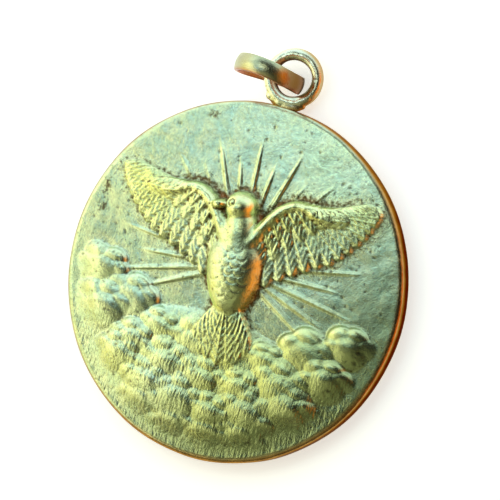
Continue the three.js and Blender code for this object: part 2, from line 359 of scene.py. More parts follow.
@dataclass
class Dove:
    """The dove of the relief, its sizes in millimetres and its places as shares."""

    span: float = 16.0
    length: float = 10.6
    height: float = 1.25
    feather_width: float = 1.14
    tilt: float = math.radians(6.0)
    middle: Place = (0.1, 1.0)
    shoulder: Place = (0.10, 0.18)
    wrist: Place = (0.36, 0.68)
    hand: Place = (0.585, 0.46)
    rows: tuple[WingRow, ...] = (
        WingRow(9, 1.00, 0.56, 20.0, -42.0, 0.51, 0.52, 1.00, 0.30),
        WingRow(6, 0.52, 0.08, -50.0, -84.0, 0.50, 0.43, 1.00, 0.36),
        WingRow(9, 1.00, 0.10, 8.0, -80.0, 0.25, 0.28, 0.95, 0.46),
        WingRow(10, 0.97, 0.08, -4.0, -76.0, 0.15, 0.17, 0.74, 0.56),
    )
    # Leading edge of the wing: how far it runs, its thickness and how that thins, then its
    # ripple, with folds along the bone and away from it.
    arm_reach: float = 0.94
    arm_radius: float = 0.62
    arm_taper: float = 0.55
    arm_height: float = 0.80
    arm_drop: float = 0.22
    arm_ripple: float = 0.035
    arm_folds: Place = (20.0, 3.0)
    arm_soft: float = 0.16
    tail_count: int = 7
    tail_fan: float = math.radians(60.0)
    tail_root: float = -0.20
    # The feathers get shorter and lower from the middle of the fan outward.
    tail_length: float = 0.37
    tail_shortening: float = 0.22
    tail_width: float = 1.12
    tail_height: float = 0.47
    tail_lowering: float = 0.10
    # Rounded masses, in shares of the dove's length and height.
    breast: Mass = Mass(0.0, -0.02, 0.178, 0.285, 1.0, swell=0.16, soft=0.14)
    neck: Mass = Mass(-0.008, 0.20, 0.114, 0.16, 0.93, math.radians(8.0), soft=0.45)
    head: Mass = Mass(-0.03, 0.33, 0.106, 0.098, 1.0, math.radians(12.0), soft=0.22)
    beak: Mass = Mass(-0.152, 0.328, 0.062, 0.036, 1.02, math.radians(8.0), soft=0.06)
    # Scallops of the breast: pitch and half size, across and along, then line and depth.
    # They show only where the breast stands up to nearly its full height.
    scallop_rows: range = range(-4, 7)
    scallop_columns: range = range(-3, 4)
    scallop_pitch: Place = (0.62, 0.46)
    scallop_size: Place = (0.36, 0.40)
    scallop_line: float = 0.16
    scallop_depth: float = 0.034
    scallop_floor: float = 0.80
    # Mouth: its middle, reach and level as shares, then its slope and how it is cut.
    mouth: Place = (-0.165, 0.328)
    mouth_reach: float = 0.05
    mouth_level: float = 0.326
    mouth_slope: float = 0.14
    mouth_width: float = 0.035
    mouth_depth: float = 0.10
    # Eye: a bead, with a ring sunk round it.
    eye: Place = (-0.066, 0.350)
    eye_reach: float = 0.5
    bead_radius: float = 0.12
    bead_height: float = 0.06
    lid_radius: float = 0.21
    lid_width: float = 0.06
    lid_depth: float = 0.11

    def lay_on(self, surface: Surface) -> None:
        """Raise the whole dove from the wings and tail up to the head.

        Args:
            surface: Surface that takes it.
        """
        turned = self._turned(surface)
        for side in (-1, 1):
            self._wing(turned, side)
        self._tail(turned)
        self.breast.scaled(self.length, self.height).lay_on(turned)
        self._breast_feathers(turned)
        for mass in (self.neck, self.head, self.beak):
            mass.scaled(self.length, self.height).lay_on(turned)
        self._mouth(turned)
        self._eye(turned)
        surface.z = turned.z

    def _turned(self, surface: Surface) -> Surface:
        """Copy the surface into the dove's own axes.

        Args:
            surface: Surface in the axes of the medal.

        Returns:
            The copy.
        """
        dx, dy = surface.x - self.middle[0], surface.y - self.middle[1]
        cos, sin = math.cos(self.tilt), math.sin(self.tilt)
        turned = Surface(dx * cos + dy * sin, -dx * sin + dy * cos)
        turned.z = surface.z.copy()
        return turned

    def _bone(self, share: float, side: int) -> Place:
        """Find a place on the curve of the wing bone.

        Args:
            share: From 0 at the shoulder to 1 at the hand.
            side: -1 for the left wing and 1 for the right.

        Returns:
            The place across and up, in millimetres.
        """
        half = self.span / 2.0
        weights = ((1.0 - share) ** 2, 2.0 * share * (1.0 - share), share**2)
        knots = (self.shoulder, self.wrist, self.hand)
        x = sum(w * k[0] for w, k in zip(weights, knots))
        y = sum(w * k[1] for w, k in zip(weights, knots))
        return side * x * half, y * half

    def _wing(self, surface: Surface, side: int) -> None:
        """Raise one wing, long feathers first and the arm over their roots.

        Args:
            surface: Surface in the dove's axes.
            side: -1 for the left wing and 1 for the right.
        """
        half = self.span / 2.0
        for row in self.rows:
            for index in range(row.count):
                share = index / (row.count - 1)
                angle = math.radians(row.angle_from + (row.angle_to - row.angle_from) * share)
                Feather(
                    root=self._bone(row.root_from + (row.root_to - row.root_from) * share, side),
                    angle=angle if side > 0 else math.pi - angle,
                    length=half * (row.length_from + (row.length_to - row.length_from) * share),
                    width=self.feather_width * row.width,
                    height=self.height * row.height * (1.0 + row.step * index),
                    side=side,
                ).lay_on(surface)
        self._arm(surface, side)

    def _arm(self, surface: Surface, side: int, steps: int = 120) -> None:
        """Raise the fleshy leading edge, tapering from the shoulder to the hand.

        Args:
            surface: Surface in the dove's axes.
            side: -1 for the left wing and 1 for the right.
            steps: Places along the bone that the distance to it is measured from.
        """
        nearest = np.full_like(surface.x, self.span)
        share_at = np.zeros_like(surface.x)
        for step in range(steps + 1):
            share = self.arm_reach * step / steps
            x, y = self._bone(share, side)
            gap = np.hypot(surface.x - x, surface.y - y)
            closer = gap < nearest
            nearest[closer] = gap[closer]
            share_at[closer] = share
        radius = self.arm_radius * (1.0 - self.arm_taper * share_at)
        inside = np.clip(1.0 - (nearest / radius) ** 2, 0.0, None)
        height = self.height * (self.arm_height - self.arm_drop * share_at) * np.sqrt(inside)
        along, away = self.arm_folds
        ripple = np.abs(np.sin(along * share_at + away * nearest)) * np.sqrt(inside)
        points = np.nonzero(inside > 0.0)[0]
        surface.lay(points, (height - self.arm_ripple * ripple)[points], self.arm_soft)

    def _tail(self, surface: Surface) -> None:
        """Raise the fan of the tail, the middle feather on top.

        Args:
            surface: Surface in the dove's axes.
        """
        order = sorted(range(self.tail_count), key=lambda i: -abs(i - (self.tail_count - 1) / 2))
        for index in order:
            share = index / (self.tail_count - 1) - 0.5
            Feather(
                root=(0.0, self.tail_root * self.length),
                angle=-math.pi / 2.0 + self.tail_fan * share,
                length=self.tail_length * self.length * (1.0 - self.tail_shortening * abs(share)),
                width=self.feather_width * self.tail_width,
                height=self.height * (self.tail_height - self.tail_lowering * abs(share)),
                side=float(np.sign(share)),
                bow=0.0,
            ).lay_on(surface)

    def _breast_feathers(self, surface: Surface) -> None:
        """Press faint overlapping scallops into the breast.

        Args:
            surface: Surface in the dove's axes.
        """
        (pitch_x, pitch_y), (wide, long) = self.scallop_pitch, self.scallop_size
        for row in self.scallop_rows:
            for column in self.scallop_columns:
                x = (column + 0.5 * (row % 2)) * pitch_x
                y = row * pitch_y + self.breast.y * self.length
                near = surface.near(x, y, pitch_x)
                if not len(near) or surface.z[near].mean() < self.scallop_floor * self.height:
                    continue
                dx, dy = (surface.x[near] - x) / wide, (surface.y[near] - y) / long
                edge = np.exp(-(((np.sqrt(dx**2 + dy**2) - 1.0) / self.scallop_line) ** 2))
                surface.z[near] -= self.scallop_depth * edge * np.clip(-dy, 0.0, 1.0)

    def _mouth(self, surface: Surface) -> None:
        """Cut the line of the mouth along the beak.

        Args:
            surface: Surface in the dove's axes.
        """
        x, y = self.mouth[0] * self.length, self.mouth[1] * self.length
        near = surface.near(x, y, self.mouth_reach * self.length)
        dx = surface.x[near] - self.beak.x * self.length
        dy = surface.y[near] - self.mouth_level * self.length
        away = (dy - self.mouth_slope * dx) / self.mouth_width
        surface.z[near] -= self.mouth_depth * np.exp(-(away**2))

    def _eye(self, surface: Surface) -> None:
        """Sink a ring round the bead of the eye.

        Args:
            surface: Surface in the dove's axes.
        """
        x, y = self.eye[0] * self.length, self.eye[1] * self.length
        near = surface.near(x, y, self.eye_reach)
        gap = np.hypot(surface.x[near] - x, surface.y[near] - y)
        off_ring = (gap - self.lid_radius) / self.lid_width
        surface.z[near] += self.bead_height * np.exp(-((gap / self.bead_radius) ** 2))
        surface.z[near] -= self.lid_depth * np.exp(-(off_ring**2))


@dataclass(frozen=True)
class PuffRow:
    """A row of puffs; shares follow the bank's width, depth and height."""

    count: int
    depth: float
    width: float
    radius: float
    height: float
    sag: float
    wave: float


@dataclass(frozen=True)
class Lobe:
    """A smaller billow on a puff: the way it stands out, in degrees, and its share of the size."""

    angle: float
    size: float


@dataclass
class CloudBank:
    """The bank of rounded clouds over the lower third, in millimetres and shares."""

    width: float = 17.0
    depth: float = 5.6
    top: float = -4.6
    height: float = 0.70
    wave_step: float = 2.3
    lean: float = 22.0
    warp: float = 0.08
    warp_length: float = 3.6
    rows: tuple[PuffRow, ...] = (
        PuffRow(8, 0.00, 1.00, 0.28, 0.60, 0.50, 0.20),
        PuffRow(7, 0.33, 0.90, 0.30, 0.80, 0.42, 0.16),
        PuffRow(6, 0.64, 0.68, 0.31, 0.92, 0.30, 0.14),
        PuffRow(4, 0.88, 0.42, 0.28, 0.80, 0.12, 0.10),
    )
    lobes: tuple[Lobe, ...] = (
        Lobe(168.0, 0.50), Lobe(14.0, 0.52), Lobe(60.0, 0.56), Lobe(116.0, 0.60),
    )
    # How far out the lobes stand and how high, and the size and height of the puff's middle.
    lobe_place: Place = (0.66, 0.56)
    lobe_height: float = 0.90
    core_size: float = 0.84
    core_height: float = 1.06
    # A billow is wider than it is long, blunt, and lower toward its foot.
    billow_shape: Place = (1.10, 0.94)
    bluntness: float = 2.4
    foot: Place = (-1.0, 0.6)
    foot_drop: float = 0.45
    soft: float = 0.04

    def lay_on(self, surface: Surface) -> None:
        """Raise the low swell and the rows of puffs, each row over the one above.

        Args:
            surface: Surface that takes them.
        """
        bent = Surface(
            surface.x + self.warp * waves(surface.x, surface.y, self.warp_length, 3),
            surface.y + self.warp * waves(surface.x, surface.y, self.warp_length, 4),
        )
        bent.z = surface.z.copy()
        Mass(0.0, self.top - 0.36 * self.depth, 0.54 * self.width, 0.78 * self.depth,
             0.5 * self.height).lay_on(bent)
        for order, row in enumerate(self.rows):
            for index in range(row.count):
                self._puff(bent, row, order, index)
        surface.z = bent.z

    def _puff(self, surface: Surface, row: PuffRow, order: int, index: int) -> None:
        """Raise one puff with smaller ones round its shoulders.

        Args:
            surface: Surface in the warped axes of the bank.
            row: Row that the puff stands in.
            order: Number of the row, from the top.
            index: Number of the puff, from the left.
        """
        share = 2.0 * index / (row.count - 1) - 1.0
        swell = 1.0 + row.wave * math.sin(index * self.wave_step + row.depth * row.count)
        radius = row.radius * self.depth * swell
        x = share * row.width * self.width / 2.0
        y = self.top - row.depth * self.depth + share**2 * row.sag * self.depth
        height = self.height * row.height
        lean = self.lean * math.sin(1.9 * index + 2.0 * order)
        out, up = self.lobe_place
        for lobe in self.lobes:
            turn = math.radians(lobe.angle + lean)
            self._billow(surface, x + out * radius * math.cos(turn),
                         y + up * radius * math.sin(turn), lobe.size * radius,
                         self.lobe_height * height)
        self._billow(surface, x, y, self.core_size * radius, self.core_height * height)

    def _billow(self, surface: Surface, x: float, y: float, radius: float, height: float) -> None:
        """Raise one round billow, steep at its upper edge and sloping away below.

        Args:
            surface: Surface in the warped axes of the bank.
            x: Middle of the billow, across.
            y: Middle of the billow, up.
            radius: Its radius.
            height: Its greatest height.
        """
        near = surface.near(x, y, SEARCH * radius)
        wide, long = self.billow_shape
        dx, dy = (surface.x[near] - x) / (wide * radius), (surface.y[near] - y) / (long * radius)
        reach = np.sqrt(dx**2 + dy**2)
        inside = np.clip(1.0 - reach**self.bluntness, 0.0, None) ** 0.5
        slope = 1.0 - self.foot_drop + self.foot_drop * smooth_step(*self.foot, dy)
        surface.lay(near, height * inside * slope, self.soft)


@dataclass
class Glory:
    """Low rays spreading behind the dove, long and short by turns."""

    middle: Place = (0.1, 1.0)
    length: float = 8.4
    short_share: float = 0.83
    width: float = 0.62
    height: float = 0.12
    count: int = 24
    arc: float = math.radians(236.0)
    taper: float = 0.85
    fade: float = 0.72

    def lay_on(self, surface: Surface) -> None:
        """Raise the rays.

        Args:
            surface: Surface that takes them.
        """
        dx, dy = surface.x - self.middle[0], surface.y - self.middle[1]
        for index in range(self.count):
            angle = math.pi / 2.0 + self.arc * (index / (self.count - 1) - 0.5)
            length = self.length * (1.0 if index % 2 == 0 else self.short_share)
            along = (dx * math.cos(angle) + dy * math.sin(angle)) / length
            across = -dx * math.sin(angle) + dy * math.cos(angle)
            half = self.width / 2.0 * np.clip(1.0 - self.taper * along, 0.05, 1.0)
            points = np.nonzero((along > 0.0) & (along < 1.0) & (np.abs(across) < half))[0]
            crest = 1.0 - np.abs(across[points] / half[points]) ** 1.6
            surface.lay(points, self.height * crest * smooth_step(1.0, self.fade, along[points]))


@dataclass
class ToolMarks:
    """Short grooves left by the engraver's tool over the clouds, in millimetres."""

    count: int = 900
    length: Place = (0.30, 0.70)
    width: Place = (0.07, 0.10)
    depth: Place = (0.002, 0.008)
    # The grooves are fainter above the top of the bank, whose line wanders.
    top: float = -2.6
    wander: float = 0.9
    faint_share: float = 0.22
    fan: float = 0.06
    scatter: float = 0.45
    curl: float = 0.08
    seed: int = 11

    def cut_into(self, surface: Surface, radius: float) -> None:
        """Cut the grooves, deeper over the clouds and faint over the field.

        Args:
            surface: Surface that takes the grooves.
            radius: Radius of the ground that they stay inside.
        """
        rng = np.random.default_rng(self.seed)
        for _ in range(self.count):
            reach, turn = radius * math.sqrt(rng.uniform()), rng.uniform(0.0, 2.0 * math.pi)
            x, y = reach * math.cos(turn), reach * math.sin(turn)
            length, width, depth = (rng.uniform(*r) for r in (self.length, self.width, self.depth))
            lean = rng.normal(0.0, self.scatter)
            if y > self.top + self.wander * rng.normal():
                depth *= self.faint_share
            angle = math.pi / 2.0 + self.fan * x + lean
            near = surface.near(x, y, length)
            dx, dy = surface.x[near] - x, surface.y[near] - y
            along = (dx * math.cos(angle) + dy * math.sin(angle)) / (length / 2.0)
            across = -dx * math.sin(angle) + dy * math.cos(angle) + self.curl * length * along**2
            surface.z[near] -= depth * np.exp(-((across / width) ** 2) - along**4)


@dataclass
class Pits:
    """Small casting pits and knocks, thickest round the dove, in millimetres."""

    count: int = 300
    radius: Place = (0.04, 0.085)
    depth: Place = (0.008, 0.035)
    stretch: Place = (0.6, 1.0)
    far_share: float = 0.10
    seed: int = 23

    def cut_into(self, surface: Surface, shore: np.ndarray, radius: float) -> np.ndarray:
        """Cut the pits.

        Args:
            surface: Surface that takes the pits.
            shore: How near each point is to the foot of the dove, from 0 to 1.
            radius: Radius of the ground that they stay inside.

        Returns:
            How deep in a pit each point is, from 0 to 1.
        """
        rng = np.random.default_rng(self.seed)
        grime = np.zeros_like(surface.z)
        chance = self.far_share + shore
        inner = np.nonzero(np.hypot(surface.x, surface.y) < radius)[0]
        odds = chance[inner] / chance[inner].sum()
        for place in rng.choice(inner, self.count, replace=False, p=odds):
            size, depth = rng.uniform(*self.radius), rng.uniform(*self.depth)
            stretch, turn = rng.uniform(*self.stretch), rng.uniform(0.0, math.pi)
            near = surface.near(surface.x[place], surface.y[place], 3.0 * size)
            dx, dy = surface.x[near] - surface.x[place], surface.y[near] - surface.y[place]
            across = dx * math.cos(turn) + dy * math.sin(turn)
            along = (-dx * math.sin(turn) + dy * math.cos(turn)) * stretch
            bowl = np.exp(-((across**2 + along**2) / size**2))
            surface.z[near] -= depth * bowl
            grime[near] = np.maximum(grime[near], bowl)
        return grime


@dataclass(frozen=True)
class Pattern:
    """A random pattern: its feature size, how finely it breaks up and how harshly."""

    name: str
    size_mm: float
    detail: float
    harshness: float = 0.5


@dataclass(frozen=True)
class Fade:
    """A soft ramp: where something starts to show, where it is full and how much that is."""

    low: float
    high: float
    most: float = 1.0


@dataclass(frozen=True)
class StruckGiltBrass:
    """Gilt brass struck in a die: satin, worn and painted paler on its high points as a highlight, and
    brown in its hollows, partly as painted shade.
    """

    # Thin old gilding reads as a pale greenish yellow, cooler where it has worn.
    gilt: str = "#D4DCB4"
    cool: str = "#C4D6B4"
    # Warm drifts lie at random; over the relief the warm tone is painted warm light.
    warm: str = "#DEE08E"
    # High points: worn paler, partly a painted highlight.
    rubbed_and_highlight: str = "#EEF0B2"
    # Gilding dulled by grease reads as olive, as does the painted shade toward the lower right, and as
    # a darker fleck where it is thin.
    olive: str = "#8E986A"
    fleck: str = "#94A47E"
    # Tarnish reads as brown, coppery in deep hollows and black in the pits. In the hollows the brown is
    # partly painted shade.
    tarnish: str = "#54401F"
    copper: str = "#B8642C"
    grime: str = "#2E2216"
    # The worn side wall reads as gold along its edge and as brown copper below; the brown is partly
    # painted shade on its right side.
    worn: str = "#BC9258"
    bare_and_shade: str = "#644022"
    painted: tuple[str, ...] = (
        "recess", "deep", "pits", "crest", "wall", "wall_shade",
        "halo", "blots", "relief", "bank", "dull_and_shade")
    patterns: tuple[Pattern, ...] = (
        Pattern("mottle", 0.9, 5.0, 0.62),
        Pattern("drift", 8.1, 2.0),
        Pattern("speck", 0.24, 5.0, 0.7),
        Pattern("grain", 0.11, 3.0),
        Pattern("dent", 1.3, 1.0),
    )
    cool_fade: Fade = Fade(0.36, 0.66)
    warm_fade: Fade = Fade(0.52, 1.0)
    fleck_fade: Fade = Fade(0.42, 0.70, 0.40)
    tarnish_fade: Fade = Fade(0.58, 0.80, 0.92)
    # How much painted warm light the relief adds to the warm drifts, and the mottling to the side wall.
    relief_warm_light: float = 0.24
    wall_mottling: float = 0.35
    # How strongly hollows, the ground round the dove and stains draw the brown specks; in the hollows
    # they are partly painted shade.
    hollow_tarnish_and_shade: float = 0.32
    ground_tarnish: float = 0.20
    stain_tarnish: float = 0.25
    # Handling has worn the high points smoother than the hollows.
    roughness: float = 0.25
    roughening: tuple[tuple[str, float], ...] = (
        ("speck", 0.16), ("crest", -0.12), ("recess", 0.14))
    # The engraver's strokes run upright over the bank. They are a few hundredths of a
    # millimetre wide on the real piece and drawn coarser here, so that they still show.
    stroke: Pattern = Pattern("stroke", 0.16, 3.0)
    stroke_turn: float = 0.12
    stroke_stretch: float = 0.30
    # The stained metal round the dove is finely pitted.
    pitting: float = 0.9
    bump_depths_mm: tuple[tuple[str, float], ...] = (
        ("dent", 0.08), ("grain", 0.007), ("speck", 0.022), ("cut", 0.060))

    def make(self) -> bpy.types.Material:
        """Build the material.

        Returns:
            The material, which reads the masks painted on the disc.
        """
        material = empty_material("struck_gilt_brass")
        tree = material.node_tree
        place = add_node(tree, "ShaderNodeTexCoord").outputs["Object"]
        upright = add_node(tree, "ShaderNodeMapping", None, {
            "Vector": place, "Rotation": (0.0, 0.0, self.stroke_turn),
            "Scale": (1.0, self.stroke_stretch, 1.0)}).outputs["Vector"]
        masks = {
            name: add_node(tree, "ShaderNodeAttribute", {"attribute_name": name}).outputs["Fac"]
            for name in self.painted}
        for pattern in self.patterns + (self.stroke,):
            masks[pattern.name] = add_node(tree, "ShaderNodeTexNoise", None, {
                "Vector": upright if pattern is self.stroke else place,
                "Scale": per(pattern.size_mm), "Detail": pattern.detail,
                "Roughness": pattern.harshness}).outputs["Fac"]
        # Worn copper keeps its colour where it is seen at a low angle.
        low_angle = add_node(tree, "ShaderNodeMix", {"data_type": "RGBA"}, {
            0: masks["wall"], 6: (1.0, 1.0, 1.0, 1.0), 7: linear(self.worn)})
        shader = add_node(tree, "ShaderNodeBsdfPrincipled", None, {
            "Base Color": self._colour(tree, masks), "Metallic": 1.0,
            "Roughness": self._roughness(tree, masks), "Specular Tint": low_angle.outputs[2],
            "Normal": self._bumps(tree, masks)})
        add_node(tree, "ShaderNodeOutputMaterial", None, {"Surface": shader.outputs["BSDF"]})
        return material

    def _colour(self, tree: bpy.types.NodeTree, masks: Sockets) -> bpy.types.NodeSocket:
        """Lay dulling, tarnish and wear over the gilding, with painted light and shade among them.

        Args:
            tree: Node tree of the material.
            masks: Painted masks and random patterns, by name.

        Returns:
            The colour of the metal.
        """
        shares = {}
        for name, source, fade in (
                ("cool", masks["mottle"], self.cool_fade),
                ("warm", self._warmth(tree, masks), self.warm_fade),
                ("fleck", masks["speck"], self.fleck_fade),
                ("tarnish", self._settled(tree, masks), self.tarnish_fade)):
            shares[name] = add_node(tree, "ShaderNodeMapRange", {"interpolation_type": "SMOOTHSTEP"}, {
                "Value": source, "From Min": fade.low, "From Max": fade.high,
                "To Max": fade.most}).outputs["Result"]
        # Mottling, and painted shade on the lower right part of the side wall.
        patchy_and_shaded = add_node(tree, "ShaderNodeMath", {"operation": "MULTIPLY_ADD", "use_clamp": True}, {
            0: shares["cool"], 1: self.wall_mottling, 2: masks["wall_shade"]})
        wall = add_node(tree, "ShaderNodeMix", {"data_type": "RGBA"}, {
            0: patchy_and_shaded.outputs[0], 6: linear(self.worn), 7: linear(self.bare_and_shade)})
        shade = linear(self.gilt)
        for share, layer in (
                (shares["cool"], linear(self.cool)),
                (shares["warm"], linear(self.warm)),
                (shares["fleck"], linear(self.fleck)),
                # Olive toward the lower right: dulling, partly painted shade.
                (masks["dull_and_shade"], linear(self.olive)),
                # High points: worn paler, partly a painted highlight.
                (masks["crest"], linear(self.rubbed_and_highlight)),
                (shares["tarnish"], linear(self.tarnish)),
                (masks["deep"], linear(self.copper)),
                # The side wall, with painted shade on its lower right part.
                (masks["wall"], wall.outputs[2]),
                (masks["pits"], linear(self.grime))):
            shade = add_node(tree, "ShaderNodeMix", {"data_type": "RGBA"}, {
                0: share, 6: shade, 7: layer}).outputs[2]
        return shade

    def _warmth(self, tree: bpy.types.NodeTree, masks: Sockets) -> bpy.types.NodeSocket:
        """Drift the gilding warmer at random, and add painted warm light over the relief."""
        return add_node(tree, "ShaderNodeMath", {"operation": "MULTIPLY_ADD"}, {
            0: masks["relief"], 1: self.relief_warm_light, 2: masks["drift"]}).outputs[0]

    def _settled(self, tree: bpy.types.NodeTree, masks: Sockets) -> bpy.types.NodeSocket:
        """Gather brown specks in the hollows, where they are partly painted shade, round the foot of
        the dove and in the stains.

        Args:
            tree: Node tree of the material.
            masks: Painted masks and random patterns, by name.

        Returns:
            How much tarnish has settled.
        """
        flecked = add_node(tree, "ShaderNodeMath", {"operation": "MULTIPLY"}, {
            0: masks["halo"], 1: masks["grain"]})
        settled = masks["speck"]
        for source, weight in (
                # Hollows: brown specks, partly painted shade.
                (masks["recess"], self.hollow_tarnish_and_shade),
                (flecked.outputs[0], self.ground_tarnish),
                (masks["blots"], self.stain_tarnish)):
            settled = add_node(tree, "ShaderNodeMath", {"operation": "MULTIPLY_ADD"}, {
                0: source, 1: weight, 2: settled}).outputs[0]
        return settled

    def _roughness(self, tree: bpy.types.NodeTree, masks: Sockets) -> bpy.types.NodeSocket:
        """Vary the roughness round its middle value.

        Args:
            tree: Node tree of the material.
            masks: Painted masks and random patterns, by name.

        Returns:
            The roughness.
        """
        rough = self.roughness - self.roughening[0][1] / 2.0
        for name, weight in self.roughening:
            rough = add_node(tree, "ShaderNodeMath", {"operation": "MULTIPLY_ADD"}, {
                0: masks[name], 1: weight, 2: rough}).outputs[0]
        return rough

    def _bumps(self, tree: bpy.types.NodeTree, masks: Sockets) -> bpy.types.NodeSocket:
        """Bump the dents, the grain, the specks and the engraver's strokes.

        Args:
            tree: Node tree of the material.
            masks: Painted masks and random patterns, by name.

        Returns:
            The bumped normal.
        """
        cut = add_node(tree, "ShaderNodeMath", {"operation": "MULTIPLY"}, {
            0: masks["stroke"], 1: masks["bank"]})
        pocked = add_node(tree, "ShaderNodeMath", {"operation": "MULTIPLY"}, {
            0: masks["speck"], 1: masks["halo"]})
        cut = add_node(tree, "ShaderNodeMath", {"operation": "MULTIPLY_ADD"}, {
            0: pocked.outputs[0], 1: self.pitting, 2: cut.outputs[0]})
        heights = {**masks, "cut": cut.outputs[0]}
        under = {}
        for name, depth_mm in self.bump_depths_mm:
            bump = add_node(tree, "ShaderNodeBump", None, {
                "Height": heights[name], "Strength": 1.0, "Distance": depth_mm * MM, **under})
            under = {"Normal": bump.outputs["Normal"]}
        return under["Normal"]


@dataclass(frozen=True)
class DrawnGiltWire:
    """Gilt brass wire, drawn and bent: satin and mottled, coppery where metal rubs on metal, with
    painted shade and reflection where its masks lie.
    """

    name: str
    # Gilding on wire reads as pale gold, and as deeper gold or brown in random patches, in the painted
    # reflection on the ear and in the painted shade on the ring.
    gilt: str
    dark: str
    copper: str
    dark_share: float
    roughness: float
    dark_from: float = 0.42
    dark_to: float = 0.72
    patterns: tuple[Pattern, ...] = (
        Pattern("mottle", 0.8, 5.0, 0.6), Pattern("speck", 0.16, 5.0, 0.7))
    roughening: float = 0.20
    bump_strength: float = 0.5
    bump_mm: float = 0.030

    def make(self) -> bpy.types.Material:
        """Build the material.

        Returns:
            The material, which reads the masks painted on the wire.
        """
        material = empty_material(self.name)
        tree = material.node_tree
        place = add_node(tree, "ShaderNodeTexCoord").outputs["Object"]
        rub, tarnish = (
            add_node(tree, "ShaderNodeAttribute", {"attribute_name": name}).outputs["Fac"]
            for name in ("rub", "tarnish"))
        mottle, speck = (
            add_node(tree, "ShaderNodeTexNoise", None, {
                "Vector": place, "Scale": per(pattern.size_mm), "Detail": pattern.detail,
                "Roughness": pattern.harshness}).outputs["Fac"]
            for pattern in self.patterns)
        dulled = add_node(tree, "ShaderNodeMapRange", {"interpolation_type": "SMOOTHSTEP"}, {
            "Value": mottle, "From Min": self.dark_from, "From Max": self.dark_to,
            "To Max": self.dark_share}).outputs["Result"]
        shade = linear(self.gilt)
        # The tarnish mask carries painted shade on the ring and a painted reflection on the ear.
        for share, layer in ((dulled, self.dark), (tarnish, self.dark), (rub, self.copper)):
            shade = add_node(tree, "ShaderNodeMix", {"data_type": "RGBA"}, {
                0: share, 6: shade, 7: linear(layer)}).outputs[2]
        rough = add_node(tree, "ShaderNodeMath", {"operation": "MULTIPLY_ADD"}, {
            0: speck, 1: self.roughening, 2: self.roughness - self.roughening / 2.0})
        bump = add_node(tree, "ShaderNodeBump", None, {
            "Height": speck, "Strength": self.bump_strength, "Distance": self.bump_mm * MM})
        shader = add_node(tree, "ShaderNodeBsdfPrincipled", None, {
            "Base Color": shade, "Metallic": 1.0, "Roughness": rough.outputs[0],
            "Normal": bump.outputs["Normal"]})
        add_node(tree, "ShaderNodeOutputMaterial", None, {"Surface": shader.outputs["BSDF"]})
        return material


@dataclass(frozen=True)
class MattCard:
    """Uncoated pale card: matt, with a faint glow of its own that keeps shadows soft."""

    colour: str = "#F6F6F4"
    roughness: float = 0.9
    glow: float = 0.6

    def make(self) -> bpy.types.Material:
        """Build the material.

        Returns:
            The material.
        """
        material = bpy.data.materials.new("matt_pale_card")
        material.use_nodes = True
        inputs = material.node_tree.nodes["Principled BSDF"].inputs
        inputs["Base Color"].default_value = linear(self.colour)
        inputs["Roughness"].default_value = self.roughness
        inputs["Emission Color"].default_value = linear(self.colour)
        inputs["Emission Strength"].default_value = self.glow
        return material


@dataclass(frozen=True)
class Stain:
    """A brown stain on the field: its place across and up, half width and half height."""

    x: float
    y: float
    half_width: float
    half_height: float


